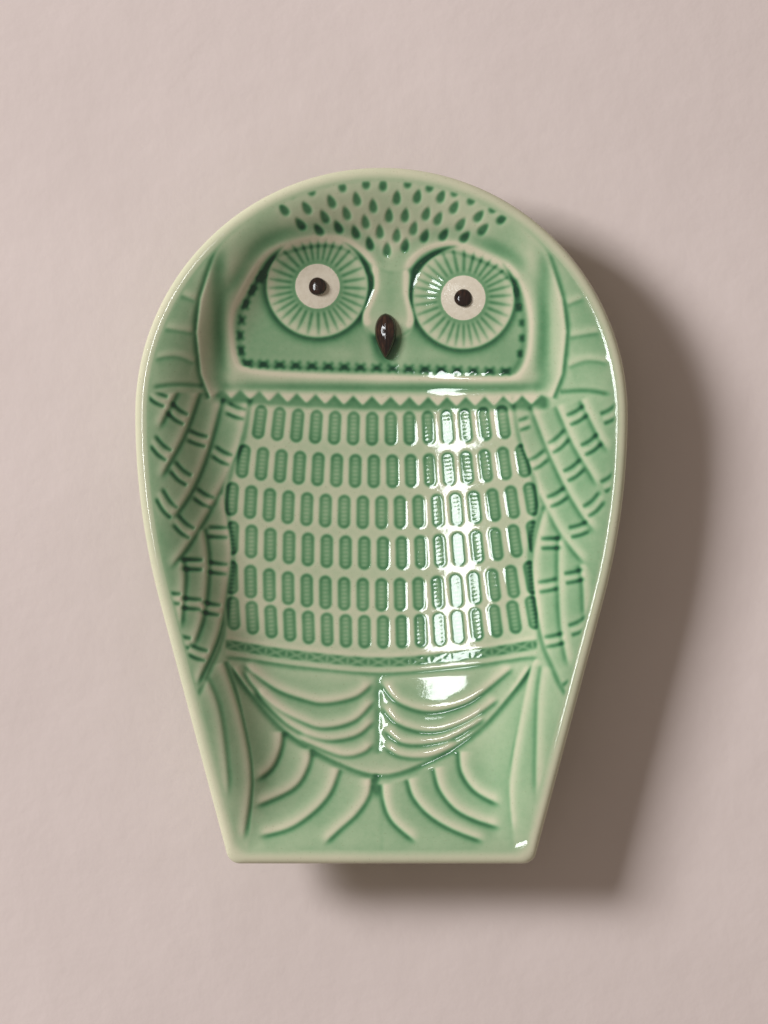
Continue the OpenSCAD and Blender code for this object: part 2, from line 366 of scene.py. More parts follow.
# Height of each node's surface above the inside of the dish, before its details
LEVELS = {
    "left_eye_white": 2.5, "right_eye_white": 2.5,
    "left_eye_rosette": 1.9, "right_eye_rosette": 1.9,
    "nose_bridge": 2.1, "face_panel": 1.35, "head_hood": 2.2,
    "left_wing": 1.6, "right_wing": 1.6,
    "breast_hem": 1.2, "breast_panel": 1.6, "belly_feathers": 1.5,
    "left_flank_feathers": 1.4, "right_flank_feathers": 1.4,
    "left_tail_fan": 1.15, "right_tail_fan": 1.15,
}

# How much deeper the glaze lies over a node than its details alone would make it
TONES = {
    "face_panel": 0.13, "breast_panel": 0.03, "left_wing": 0.08, "right_wing": 0.08,
    "left_eye_rosette": 0.07, "right_eye_rosette": 0.05, "breast_hem": 0.03, "head_hood": -0.02,
}

# ---- details of the relief, each drawn on the height map of its own nodes ----

CROWN_DROPS = [
    (-32.9, 116.1), (-25.5, 117.1), (-20, 120.7), (-14.2, 118.5), (-5.6, 119.6), (0.6, 118.9),
    (9.5, 119.9), (17.5, 118.5), (26.6, 116.7), (32.6, 113.7), (40.5, 110.7),
    (-35, 109.9), (-26.8, 110.5), (-17.9, 112.8), (-8.8, 113.7), (-2.9, 111.3), (5.6, 114.2),
    (13, 114.6), (21.5, 114.6), (26.2, 110.7), (35, 107.5), (43.4, 106.7),
    (-29.1, 104.9), (-20.4, 107.5), (-12.5, 108.7), (-5.7, 105.7), (2.8, 108), (8.6, 108),
    (16.2, 108.5), (20.5, 106.8), (28.6, 104.8), (36.6, 102.9),
    (-22.5, 102.7), (-15.5, 103.8), (-9.3, 102.1), (-0.5, 102.3), (5.6, 101), (11.7, 103.4),
    (15.7, 100.8), (22.5, 101.1), (30, 100.2), (-4.2, 98.1), (2.1, 96), (8.6, 97.5),
]


def draw_crown(field):
    """Teardrops pressed into the crown, their points turned away from the beak."""
    for x, y in CROWN_DROPS:
        turn = math.atan2(x - 1.5, y - 66)
        win, u, v = local((x, y), turn, 5)
        q = np.hypot(u / (1.7 * (1 - 0.12 * v)), v / 3.0)
        field[win] -= 1.0 * (1 - smooth(0.5, 1.12, q))


def draw_hood(field):
    """The hood's shallow band, with a raised edge down both sides and along its hem."""
    field -= 1.0 * bell(np.abs(X) - 58.3, 3.6) * smooth(101, 88, Y) * smooth(42, 50, Y)
    field -= 1.0 * bell(Y - 46.2, 2.4) * smooth(61, 55, np.abs(X))
    temple = np.hypot(np.abs(X) - 45, (Y - 101) / 1.0)
    field -= 0.9 * bell(temple, 11)
    for side in (-1, 1):
        edge = [(side * x, y) for x, y in HOOD_SIDE[1:]]
        stroke(field, edge, ridge(0.35, 1.8), ends=(12, 1))
    field -= 0.5 * smooth(53, 61, np.abs(X))


def draw_face(field):
    """The face: cross stitches round its edge, soft cheeks, and hollows round the eyes and beak."""
    for i in range(17):
        x = -48.4 + 5.83 * i
        stitch(field, (x, 53.4 - 0.03 * x), 0, 2.2)
    for x, y, turn in [(-50.6, 59.5, 85), (-50.9, 65, 90), (-50.3, 70.5, 97), (-48.8, 76, 105),
                       (-46.4, 81.2, 115), (-43.3, 86, 125)]:
        stitch(field, (x, y), math.radians(turn), 2.0)
    for y in (58.5, 64, 69.5, 75, 80.5):
        x = 50.6 - 0.012 * (y - 66) ** 2
        stitch(field, (x, y), math.pi / 2, 1.5, 0.4)
    for eye in (LEFT_EYE, RIGHT_EYE):
        r = np.hypot(X - eye[0], Y - eye[1])
        field -= 0.62 * bell(r - ROSETTE_R - 0.3, 2.2)
    for x in (-14.5, 18.5):
        field += 0.3 * np.exp(-(((X - x) / 7) ** 2) - ((Y - 58.5) / 3.2) ** 2)
    beak = np.hypot((X - BEAK_X) / 0.85, (Y - 64.5) / 1.7)
    field -= 1.5 * np.exp(-((beak / 6.2) ** 4))


def stitch(field, centre, turn, arm, depth=0.55):
    """A cross pressed into the clay: two short grooves over each other."""
    win, u, v = local(centre, turn, 5)
    for lean in (-0.62, 0.62):
        c, s = math.cos(lean), math.sin(lean)
        a, b = c * u + s * v, c * v - s * u
        field[win] -= depth * bell(b, 0.76) * (1 - smooth(arm * 0.8, arm * 1.3, np.abs(a)))


def draw_bridge(field):
    """The nose bridge: a hollow down its middle and a raised edge on both sides."""
    left = [(-2.6, 90), (-2, 83), (-3.8, 77.4), (-5.6, 72.4), (-4.6, 68)]
    right = [(9, 89), (8.8, 81), (10.3, 74), (10.4, 70), (8.8, 67.5)]
    for edge in (left, right):
        stroke(field, edge, ridge(0.7, 1.2), ends=(1, 2))
    field -= 0.2 * bell(X - 3, 3.2) * smooth(95, 86, Y)
    field -= 0.9 * smooth(71, 64.5, Y)


def draw_rosette(field, eye):
    """An eye's fan of petals, parted by fine radial grooves."""
    win = window([eye], ROSETTE_R + 1)
    dx, dy = X[win] - eye[0], Y[win] - eye[1]
    r, a = np.hypot(dx, dy), np.arctan2(dy, dx)
    petals = 32
    wobble = 0.25 * np.sin(3 * a + eye[0])
    phase = np.abs(((a * petals / (2 * math.pi) + wobble) % 1) - 0.5) * 2
    off = (1 - phase) * math.pi * r / petals
    spread = smooth(WHITE_R + 0.6, WHITE_R + 2.2, r) * smooth(ROSETTE_R - 0.2, ROSETTE_R - 1.3, r)
    field[win] -= 0.62 * bell(off, 0.5) * spread
    field[win] += 0.25 * bell(r - ROSETTE_R + 1.6, 1.7)
    field[win] -= 0.3 * bell(r - WHITE_R - 0.35, 0.55)


def draw_eye(field, eye):
    """The white of an eye: a low cushion with a worn edge and a scored ring round the pupil."""
    r = np.hypot(X - eye[0], Y - eye[1])
    field += 0.32 * np.sqrt(np.clip(1 - (r / (WHITE_R + 0.4)) ** 2, 0, 1))
    field -= 0.16 * bell(r - PUPIL_R - 0.35, 0.3)


# Free edges of the wings' feathers, from the top down: the upper wing, then the lower wing
LEFT_UPPER = [
    [(-47.5, 41.2), (-51.6, 23.9), (-59.8, 5.8), (-69.7, -11.1), (-76.3, -19.6)],
    [(-57.4, 43), (-62.3, 23.9), (-68.1, 9.5), (-75.5, -2)],
    [(-64.8, 46.6), (-70.5, 30.1), (-76.7, 18.1), (-79.6, 12.4)],
    [(-72.6, 46.2), (-78.4, 34.2), (-80.4, 30.1)],
]
RIGHT_UPPER = [
    [(44.6, 37), (51.7, 17.8), (58.2, 5.4), (64.8, -7), (73.9, -18.3)],
    [(53.7, 40), (59.9, 23.9), (66.1, 10.3), (72.7, -0.8), (77.6, -6.6)],
    [(62.8, 40), (69, 25.6), (75.5, 14.4), (78, 9.5)],
    [(71.4, 42.1), (78, 28.4), (82.1, 21.9)],
]
LEFT_LOWER = [
    [(-56.2, 8.4), (-53.7, -8.8), (-54.9, -21), (-58.2, -41.8), (-64.8, -57.5), (-67.2, -62)],
    [(-63.9, -4.1), (-62.3, -17), (-63.9, -35.6), (-68.1, -48.3)],
    [(-71.8, -15), (-70.5, -23), (-72.2, -41.8)],
]
RIGHT_LOWER = [
    [(59.1, 3.8), (55.7, -9), (54.5, -21), (56.6, -45.9), (62.8, -68.6)],
    [(64, -6.6), (63.6, -19), (64.4, -39.7), (67.3, -55.4)],
    [(71, -17), (72.3, -25), (72.7, -38)],
]

# Edges of the plain feathers on the shoulder, for the left and (mirrored) the right
SHOULDER_EDGES = [
    [(73.9, 80), (66.5, 77)],
    [(79.6, 67.4), (67.5, 65.6)],
    [(82.5, 56), (74, 57.2), (67, 54.8)],
]

# Inner ends of the double bars across the feathers, and how far each bar rises outwards
LEFT_BARS = [
    (-48.5, 38.2, 2.8), (-53.4, 21.6, 4), (-59.9, 6.2, 4.2), (-66.9, -4.9, 5.8), (-62.2, 28.3, 2.8),
    (-68, 14.2, 6), (-73, 2.4, 8), (-69.2, 36.1, 5.2), (-75.1, 23.1, 6.2), (-76.4, 42.5, 4.4),
    (-54.9, -4.4, 0.4), (-55, -17.7, 1.2), (-57.4, -32.4, 1.7), (-62, -48.8, 3),
    (-64, -16, 0.4), (-64.2, -30.3, 0.9), (-68, -44.2, 2.4), (-71.6, -28.2, 0.8),
]
RIGHT_BARS = [
    (46.1, 33.7, 2.3), (52.3, 19.7, 4.6), (59.3, 6.5, 4.2), (67.1, -4.4, 2.7), (59.7, 25.9, 5.8),
    (65.2, 15.8, 5.1), (72.2, 3, 6.2), (66.3, 36, 4.3), (71.4, 25.1, 5.1), (78.4, 11.9, 5.4),
    (78.4, 36.4, 4.6),
    (57.2, -8.3, 0.2), (56, -24.1, 1.7), (58.3, -43.8, 2), (61, -62.7, 4.1),
    (65.4, -20.9, 2), (66.9, -39.6, 4),
]


def double_bar(field, side, x, y, rise, depth):
    """Two curved grooves across a feather, one below the other."""
    run = 8.5 - 0.3 * rise
    drop = 3.5
    lean = 0.3 * rise
    for k in (0, 1):
        start = (x + side * k * lean, y - k * drop)
        end = (start[0] + side * run, start[1] + rise)
        middle = (start[0] + side * run * 0.5, start[1] + rise * 0.36)
        stroke(field, [start, middle, end], groove(depth, 0.72), ends=(0.6, 2.2), reach=3)
    crest = [
        (start[0] + side * (t * run - lean / 2), start[1] + t * t * rise + drop / 2) for t in (0, 0.5, 1)
    ]
    stroke(field, crest, ridge(0.22, 0.8), ends=(1, 1), reach=3)


def draw_wing(field, side):
    """A wing: overlapping feathers, each crossed by double bars, under a plainer shoulder."""
    left = side < 0
    # The left wing's feathers and bars are cut deeper than the right's, so its glaze pools darker: painted
    # shade on the side turned away from the key light.
    edge = shingle(side, rise=0.45, drop=1.0 if left else 0.68, up=2.0, down=1.2)
    upper, lower = (LEFT_UPPER, LEFT_LOWER) if left else (RIGHT_UPPER, RIGHT_LOWER)
    covered = np.zeros(X.shape, bool)
    win, off, _, _ = measure(through(upper[0]), 40)
    covered[win] = (off * side > 0) & (Y[win] < 44)
    low, high = np.zeros(X.shape), np.zeros(X.shape)
    for part, lines in ((high, upper), (low, lower)):
        for line in lines:
            stroke(part, line, edge, ends=(1.5, 5))
    for x, y, rise in LEFT_BARS if left else RIGHT_BARS:
        middle = np.argmin(np.hypot(X - x - 3 * side, Y - y))
        part = high if covered.flat[middle] else low
        double_bar(part, side, x, y, rise, 0.9 if left else 0.7)
    stroke(low, upper[0], edge, ends=(1.5, 5))
    below = blurred(np.where(covered, 1.0, 0.0), 0.3)
    field += high * below + low * (1 - below)
    for line in SHOULDER_EDGES:
        line = [(side * x, y - (1.5 if side > 0 else 0)) for x, y in line]
        stroke(field, line, shingle(-side, rise=0.3, drop=0.5, up=2, down=0.9), ends=(3, 1), reach=6)
    base = [(side * 83, 44.6 - 1.3 * side), (side * 74, 46 - 1.1 * side), (side * 64, 45.6 - 1.1 * side)]
    stroke(field, base, groove(0.6, 0.9), ends=(3, 1))
    edge = [(side * x, y) for x, y in HOOD_SIDE[1:]]
    stroke(field, edge, groove(0.9, 1.4), ends=(14, 1))
    field -= 0.9 * smooth(3.4, 0.6, hem_y(X) - Y) * smooth(62, 58.5, np.abs(X)) * smooth(52, 48, Y)


# Rows of slots down the breast: the height of each, how many slots it has and how far out they reach
BREAST_ROWS = [
    (31.4, 14, 44), (16, 16, 50.5), (1.1, 17, 54), (-13.6, 17, 54.4), (-28.7, 17, 54), (-42.1, 17, 54),
]
SLOT_R = 2.5
SLOT_HALF = 3.85


def draw_breast(field):
    """Rows of round-ended slots with tiny raised ribs, leaning in towards the top of the breast."""
    for row, (middle, count, reach) in enumerate(BREAST_ROWS):
        for x in np.linspace(-reach, reach, count) + 0.6 * (row % 2):
            y = middle + (3 + 0.6 * row) * (x / 50) ** 2
            degrees = -9 * x / 50 if x > 0 else -9 * x / 50 * (1 - row / 3.5)
            slot(field, (x, y), math.radians(degrees))
    field -= 0.9 * smooth(3.4, 0.6, hem_y(X) - Y)
    edge = [(x, y + 0.4) for x, y in HEM_EDGE]
    stroke(field, edge, ridge(0.25, 1.3), ends=(1, 1))


def slot(field, centre, turn):
    """A round-ended slot, darkest just inside its edge, with ribs across its bed."""
    win, u, v = local(centre, turn, 8)
    depth = SLOT_R - np.hypot(u, np.maximum(np.abs(v) - SLOT_HALF, 0))
    field[win] -= 0.92 * smooth(-0.25, 0.7, depth) + 0.15 * bell(depth - 0.45, 0.4)
    ribs = (0.5 + 0.5 * np.cos(2 * math.pi * v / 1.45)) ** 2
    field[win] += 0.45 * ribs * np.exp(-((u / 1.0) ** 4)) * smooth(0.6, 1.2, depth)


def draw_hem(field):
    """The band under the breast: cells crossed by fine raised diagonals, over a plain welt."""
    win, side, along, length = measure(through(HEM_EDGE, 12), 8)
    cell, band = 7.4, 3.7
    q = -side / band
    p = along / cell % 1
    inner = smooth(0, 0.12, q) * smooth(1, 0.88, q)
    slope = band * cell / math.hypot(band, cell)
    lines = np.minimum(np.abs(p - q), np.abs(1 - p - q)) * slope
    posts = np.minimum(p, 1 - p) * cell
    lace = np.maximum(bell(lines, 0.42), bell(posts, 0.45))
    field[win] -= inner * (0.6 - 0.42 * lace)
    field[win] += 0.35 * bell(q - 1.28, 0.28)


LEFT_SWAGS = [
    [(-50, -52.5), (-47.2, -55.9), (-38, -62.6), (-28.6, -66.2), (-20.4, -67.8), (-9, -65.4), (-2.6, -60)],
    [(-50, -55), (-46.3, -61.2), (-38, -69.2), (-28.6, -74.4), (-20.4, -76.7), (-9.5, -74), (-2.2, -66.5)],
    [(-46, -62.5), (-41.8, -67.8), (-34, -75.2), (-26.5, -79.3), (-18.3, -81.2), (-8.5, -79.2), (-2, -73.6)],
    [(-31, -80), (-25.3, -82.7), (-14.2, -86.8), (-6.5, -85.6), (-2.2, -81.7)],
]
RIGHT_SWAGS = [
    [(-0.4, -59.8), (4.6, -66.5), (12, -70), (19.4, -70.8), (28, -68.8), (35, -65.2), (48.1, -54.3)],
    [(-0.2, -68.3), (5, -74.6), (13.3, -77.8), (21, -77.8), (28.5, -75.2), (36, -71), (42.9, -65.6)],
    [(0.2, -76.6), (6, -81.6), (13.3, -82.8), (24, -81), (33.3, -76), (38, -72.5)],
    [(0.2, -82.9), (6, -86.6), (13.3, -87.6), (20, -86.4), (28.1, -82.6)],
]


def draw_belly(field):
    """The belly's swags: plump crescents that hang from both sides of a groove in the middle."""
    for line in LEFT_SWAGS + RIGHT_SWAGS:
        stroke(field, line, shingle(1, rise=0.6, drop=0.95, up=2.4), ends=(3.5, 3.5))
    stroke(field, [(-1.2, -57), (-1.4, -70), (-1.2, -87)], groove(0.5, 1.5), ends=(3, 2))
    field -= 0.6 * np.exp(-(((Y - np.interp(X, *np.transpose(HEM_EDGE)) + HEM_BAND + 0.6) / 1.3) ** 2))
    for side in (-1, 1):
        streak = [(side * 53, -53.5), (side * 49, -60.5), (side * 45.5, -66)]
        stroke(field, streak, ridge(0.35, 1), ends=(2, 4))


TAIL_EDGES_LEFT = [
    [(-35.6, -77.7), (-36.3, -84), (-39.5, -91), (-46, -96)],
    [(-25.3, -83.9), (-26.6, -91), (-32, -98.6), (-46.4, -105)],
    [(-15, -91.3), (-18.5, -100), (-24.6, -106.8), (-33.5, -112.5), (-45, -115.4)],
    [(-3.6, -94.6), (-4.6, -101), (-9, -107.5), (-15, -112.8), (-21.5, -118.8)],
]
TAIL_EDGES_RIGHT = [
    [(0.2, -96.6), (1, -103.5), (4.4, -110.5), (13.5, -118)],
    [(9.4, -94.8), (11.6, -101.5), (17.2, -107.8), (26, -113), (38, -117.4)],
    [(18.9, -90.8), (21, -98.6), (26.5, -105.5), (34.3, -109.6), (44, -112.4)],
    [(28.1, -84.8), (29, -92.5), (34, -99.5), (43.8, -104.6)],
]


def draw_tail(field):
    """The tail: feathers that fan out and down from under the belly."""
    for side, lines in ((-1, TAIL_EDGES_LEFT), (1, TAIL_EDGES_RIGHT)):
        for line in lines:
            stroke(field, line, shingle(side, rise=0.6, drop=1.05, up=2.6, down=1.3), ends=(1, 5))
    edge = through(BELLY_EDGE, 4) - (0, 0.9)
    stroke(field, edge[::4], groove(0.75, 1.5), ends=(4, 4))
    stroke(field, [(-1.7, -92), (-1.9, -97), (-1.6, -103)], groove(0.7, 1.1), ends=(1, 4))


def draw_flank(field, side):
    """The long plain feathers beside the tail."""
    if side < 0:
        outer = [(-62.8, -57.8), (-59, -67), (-56.8, -77.5), (-55, -95), (-55.7, -104)]
        inner = [(-56.8, -52.3), (-50.2, -73), (-46.7, -95), (-49.7, -117.8)]
    else:
        outer = [(57.8, -53.3), (56.2, -66), (55.5, -88), (55.5, -104)]
        inner = [(54.2, -51), (49.4, -73.5), (45.4, -99), (46.4, -115)]
    stroke(field, outer, shingle(side, rise=0.4, drop=0.6, up=2.4, down=1.2), ends=(2, 10))
    stroke(field, inner, shingle(side, rise=0.5, drop=0.9, up=2.2, down=1.3), ends=(1, 6))


def border_strokes(field):
    """Ridges and grooves that follow the borders between nodes."""
    frame_line = FACE_TOP[14:] + FACE_BOTTOM + FACE_TOP[:4]
    stroke(field, frame_line, ridge(0.45, 1.0), ends=(2, 2))
    stroke(field, frame_line, groove(0.25, 0.9, at=-2.4), ends=(2, 2))
    stroke(field, frame_line, groove(0.45, 3.0, at=4.0), ends=(9, 9), reach=14)
    for brow in (FACE_TOP[2:8] + BROW_ENDS[0], BROW_ENDS[1] + FACE_TOP[11:16]):
        stroke(field, brow, ridge(0.9, 1.35), ends=(8, 3))
        stroke(field, brow, groove(0.4, 0.7, at=-2.5), ends=(4, 3))
        stroke(field, brow, groove(0.5, 2.6, at=4.2), ends=(9, 6), reach=14)
    for side in (-1, 1):
        inner = through(WING_EDGE, 4) * (side, 1)
        stroke(field, inner[::3], groove(0.55, 1.0, at=-0.9 * side), ends=(2, 3))


def make_relief(shapes):
    """The clay's height above the inside surface, faded out towards the lip."""
    details = {name: np.zeros(X.shape) for name in shapes}
    draw_crown(details["head_hood"])
    draw_hood(details["head_hood"])
    draw_face(details["face_panel"])
    draw_bridge(details["nose_bridge"])
    for side, eye in (("left", LEFT_EYE), ("right", RIGHT_EYE)):
        draw_rosette(details[side + "_eye_rosette"], eye)
        draw_eye(details[side + "_eye_white"], eye)
    for side, sign in (("left", -1), ("right", 1)):
        draw_wing(details[side + "_wing"], sign)
        draw_flank(details[side + "_flank_feathers"], sign)
        draw_tail(details[side + "_tail_fan"])
    draw_breast(details["breast_panel"])
    draw_hem(details["breast_hem"])
    draw_belly(details["belly_feathers"])
    level, detail, tone = np.zeros(X.shape), np.zeros(X.shape), np.zeros(X.shape)
    for name, inward in reversed(shapes.items()):
        share = np.clip(0.5 + inward / (1.2 * STEP), 0, 1)
        level += share * (LEVELS[name] - level)
        detail += share * (details[name] - detail)
        tone += share * (TONES.get(name, 0) - tone)
    clay = blurred(level, 0.45) + detail
    border_strokes(clay)
    hand = blurred(rng.standard_normal(X.shape), 5)
    clay += 0.07 * hand / hand.std()
    return np.maximum(clay, 0.1), blurred(tone, 0.8)


def glazed_surface(clay, calm):
    """The fired surface: the glaze fills most of the relief, above all in its calm places."""
    filled = blurred(np.where(calm, 1.0, 0.0), 2)
    share = 0.32 - 0.26 * filled
    body = blurred(clay, 3.0) * (1 - filled) + blurred(clay, 6.0) * filled
    crisp = blurred(clay, 0.3) - body
    rise = smooth(RELIEF_EDGE, RELIEF_EDGE + 16, INSET)
    shown = smooth(RELIEF_EDGE, RELIEF_EDGE + 4, INSET)
    return body * rise + share * crisp * shown


def rim_tint(inset):
    """How deep the glaze lies near the lip: thin over its edge, thicker down the wall."""
    return 0.08 + 0.32 * smooth(1.6, 5.5, inset)


def glaze_depth(clay):
    """From 0 on sharp ridges, where the glaze runs thin, to 1 where it pools in the grooves."""
    soft = blurred(clay, 0.35)
    near = blurred(clay, 1.1) - soft
    wide = blurred(clay, 4.0) - soft
    shown = smooth(RELIEF_EDGE, RELIEF_EDGE + 1.5, INSET)
    return rim_tint(INSET) + (0.3 * near + 0.42 * wide) * shown


# ---- cutting the height map into closed pieces ----


def sample(field, x, y):
    """The map's value at places between its points."""
    u, v = (x - xs[0]) / STEP, (y - ys[0]) / STEP
    i = np.clip(u.astype(int), 0, len(xs) - 2)
    j = np.clip(v.astype(int), 0, len(ys) - 2)
    u, v = u - i, v - j
    low = field[j, i] * (1 - u) + field[j, i + 1] * u
    high = field[j + 1, i] * (1 - u) + field[j + 1, i + 1] * u
    return low * (1 - v) + high * v


def snapped_grid(shapes, loose):
    """Grid points drawn onto the borders near them, unless they are loose, and the border of each."""
    x, y = X.copy(), Y.copy()
    on_border = np.zeros(X.shape, int)
    claimed = np.zeros(X.shape, bool)
    near_step = 0.5 * STEP
    fields = []
    for number, shape in enumerate(shapes, 1):
        inward = shape.copy()
        gy, gx = np.gradient(inward, STEP)
        size = np.maximum(gx**2 + gy**2, 0.25)
        near = (np.abs(inward) < near_step) & (on_border == 0) & ~claimed & ~loose
        x[near] -= (inward * gx / size)[near]
        y[near] -= (inward * gy / size)[near]
        on_border[near] = number
        inward[near] = 0
        claimed |= inward > 0
        fields.append(inward)
    return x, y, on_border, fields


def cut_grid(shapes):
    """The snapped grid and its triangles, with points let go again where a triangle would fold."""
    loose = np.zeros(X.shape, bool)
    for _ in range(5):
        x, y, on_border, fields = snapped_grid(shapes, loose)
        triangles = grid_triangles(on_border)
        px, py = x.ravel()[triangles], y.ravel()[triangles]
        ax, ay = px[:, 1] - px[:, 0], py[:, 1] - py[:, 0]
        bx, by = px[:, 2] - px[:, 0], py[:, 2] - py[:, 0]
        area = ax * by - bx * ay
        folded = triangles[area < 0.12 * STEP**2]
        if not len(folded):
            break
        loose.ravel()[folded] = True
    return x, y, triangles, without_strays(triangles, label_triangles(triangles, fields))


def grid_triangles(on_border):
    """Two triangles for each cell, parted along a border where one crosses it."""
    count = len(xs)
    a = (np.arange(len(ys) - 1)[:, None] * count + np.arange(count - 1)).ravel()
    b, c, d = a + 1, a + count + 1, a + count
    mark = on_border.ravel()
    other = (mark[b] > 0) & (mark[b] == mark[d]) & ~((mark[a] > 0) & (mark[a] == mark[c]))
    first = np.where(other[:, None], np.column_stack([a, b, d]), np.column_stack([a, b, c]))
    second = np.where(other[:, None], np.column_stack([b, c, d]), np.column_stack([a, c, d]))
    return np.vstack([first, second])


def label_triangles(triangles, shapes):
    """The number of the first shape that each triangle lies in, or 0."""
    label = np.zeros(len(triangles), int)
    for number, inward in reversed(list(enumerate(shapes, 1))):
        label[inward.ravel()[triangles].sum(1) > 0] = number
    return label


def neighbours(triangles):
    """Pairs of triangles that share an edge."""
    edges = np.sort(np.vstack([triangles[:, [0, 1]], triangles[:, [1, 2]], triangles[:, [2, 0]]]), 1)
    key = edges[:, 0] * (int(triangles.max()) + 1) + edges[:, 1]
    order = np.argsort(key, kind="stable")
    twin = np.flatnonzero(key[order][:-1] == key[order][1:])
    return order[twin] % len(triangles), order[twin + 1] % len(triangles)


def patches(a, b, count):
    """The lowest number in the connected patch that each of a count of items lies in."""
    patch = np.arange(count)
    while True:
        before = patch.copy()
        low = np.minimum(patch[a], patch[b])
        np.minimum.at(patch, before[a], low)
        np.minimum.at(patch, before[b], low)
        while (patch != patch[patch]).any():
            patch = patch[patch]
        if (patch == before).all():
            return patch


def without_strays(triangles, label):
    """Labels with each node left in one patch; what lies off it goes to the node beside it."""
    a, b = neighbours(triangles)
    for _ in range(6):
        alike = label[a] == label[b]
        patch = patches(a[alike], b[alike], len(label))
        size = np.bincount(patch, minlength=len(label))
        stray = label == 0
        for number in range(2, int(label.max()) + 1):
            own = np.flatnonzero(label == number)
            main = patch[own[np.argmax(size[patch[own]])]]
            stray[own] |= patch[own] != main
        if not stray.any():
            break
        for one, other in ((a, b), (b, a)):
            given = stray[one] & ~stray[other]
            label[one[given]] = label[other[given]]
    return label


def border_edges(triangles):
    """The directed edges that only one triangle has."""
    edges = np.vstack([triangles[:, [0, 1]], triangles[:, [1, 2]], triangles[:, [2, 0]]])
    top = int(triangles.max()) + 1
    forward = edges[:, 0] * top + edges[:, 1]
    back = edges[:, 1] * top + edges[:, 0]
    return edges[~np.isin(forward, back)]


def filled(plan, ring):
    """Triangles between plan points, on the left of a directed border only."""
    _, _, faces, source, _, _ = delaunay_2d_cdt([Vector(p) for p in plan], ring, [], 1, 1e-7)
    faces = [[source[k][0] for k in face] for face in faces]
    face_of = {edge: number for number, face in enumerate(faces) for edge in zip(face, face[1:] + face[:1])}
    border = set(ring)
    found = {face_of[edge] for edge in ring}
    queue = list(found)
    while queue:
        face = faces[queue.pop()]
        for a, b in zip(face, face[1:] + face[:1]):
            other = face_of.get((b, a))
            if (a, b) not in border and other is not None and other not in found:
                found.add(other)
                queue.append(other)
    return [faces[number] for number in sorted(found)]


def relief_piece(name, triangles, points, normals, pool, material):
    """A closed solid: the cut top, walls down from its border, and a coarse bed under it."""
    used, faces = np.unique(triangles, return_inverse=True)
    faces = faces.reshape(-1, 3)
    top, top_normals = points[used], normals[used]
    edges = border_edges(faces)
    rim = np.unique(edges)
    low_of = np.full(len(used), -1)
    low_of[rim] = np.arange(len(rim))
    spacing = 5.0
    inner = np.abs(top[:, :2] / spacing - np.round(top[:, :2] / spacing)).max(1) * spacing < STEP * 0.51
    inner[rim] = False
    inner_ids = np.flatnonzero(inner)
    plan = np.vstack([top[rim, :2], top[inner_ids, :2]])
    ring = [(int(low_of[i]), int(low_of[j])) for i, j in edges]
    inset = inset_at(plan[:, 0], plan[:, 1])
    low = np.column_stack([plan, inside_z(plan[:, 0], plan[:, 1], inset) - BED])
    base = len(used)
    bed = [[base + k for k in reversed(face)] for face in filled(plan, ring)]
    walls = [[base + int(low_of[i]), base + int(low_of[j]), int(j), int(i)] for i, j in edges]
    verts = np.vstack([top, low])
    depth = np.concatenate([pool[used], np.full(len(low), HIDDEN_TINT)])
    obj = solid(name, verts, faces.tolist() + walls + bed, material, depth)
    mesh = obj.data
    corner = np.empty(len(mesh.loops) * 3, np.float32)
    mesh.corner_normals.foreach_get("vector", corner)
    corner = corner.reshape(-1, 3)
    corner[: faces.size] = top_normals[faces.ravel()]
    flat_normals = np.empty(len(mesh.polygons) * 3, np.float32)
    mesh.polygon_normals.foreach_get("vector", flat_normals)
    sizes = np.empty(len(mesh.polygons), np.int32)
    mesh.polygons.foreach_get("loop_total", sizes)
    corner[faces.size:] = np.repeat(flat_normals.reshape(-1, 3)[len(faces):], sizes[len(faces):], axis=0)
    mesh.normals_split_custom_set(corner.tolist())
    return obj


def solid(name, points, faces, material, pool=None):
    mesh = bpy.data.meshes.new(name)
    mesh.from_pydata((np.asarray(points) * MM).tolist(), [], faces)
    mesh.shade_smooth()
    if pool is not None:
        mesh.attributes.new("pool", "FLOAT", "POINT").data.foreach_set("value", np.asarray(pool, np.float32))
    mesh.materials.append(material)
    obj = bpy.data.objects.new(name, mesh)
    bpy.context.scene.collection.objects.link(obj)
    return obj


def keep(obj, slot_name, *nodes):
    """Puts a finished piece in place of its CAD nodes."""
    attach(obj, "root")
    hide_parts(*nodes)


def make_relief_pieces():
    shapes = plan_shapes()
    clay, tone = make_relief(shapes)
    calm = (shapes["breast_panel"] > 0) | (shapes["breast_hem"] > 0) | (shapes["face_panel"] > -2)
    glazed = glazed_surface(clay, calm)
    depth = glaze_depth(clay) + tone
    fields = [RELIEF_EDGE - INSET] + list(shapes.values())
    x, y, triangles, label = cut_grid(fields)
    inset = inset_at(x, y)
    height = inside_z(x, y, inset) + sample(glazed, x, y)
    surface = inside_z(X, Y, INSET) + glazed
    gy, gx = np.gradient(surface, STEP)
    slope = np.column_stack([-sample(gx, x, y).ravel(), -sample(gy, x, y).ravel(), np.ones(X.size)])
    slope /= np.linalg.norm(slope, axis=1)[:, None]
    points = np.column_stack([x.ravel(), y.ravel(), height.ravel()])
    pool = np.clip(sample(depth, x, y), 0, 1).ravel()
    for number, name in enumerate(shapes, 2):
        white = name.endswith("eye_white")
        material = white_glaze if white else celadon
        piece = relief_piece(name + "_relief", triangles[label == number], points, slope, pool, material)
        keep(piece, "white_slip" if white else "celadon_glaze", name)


# ---- lofted pieces ----


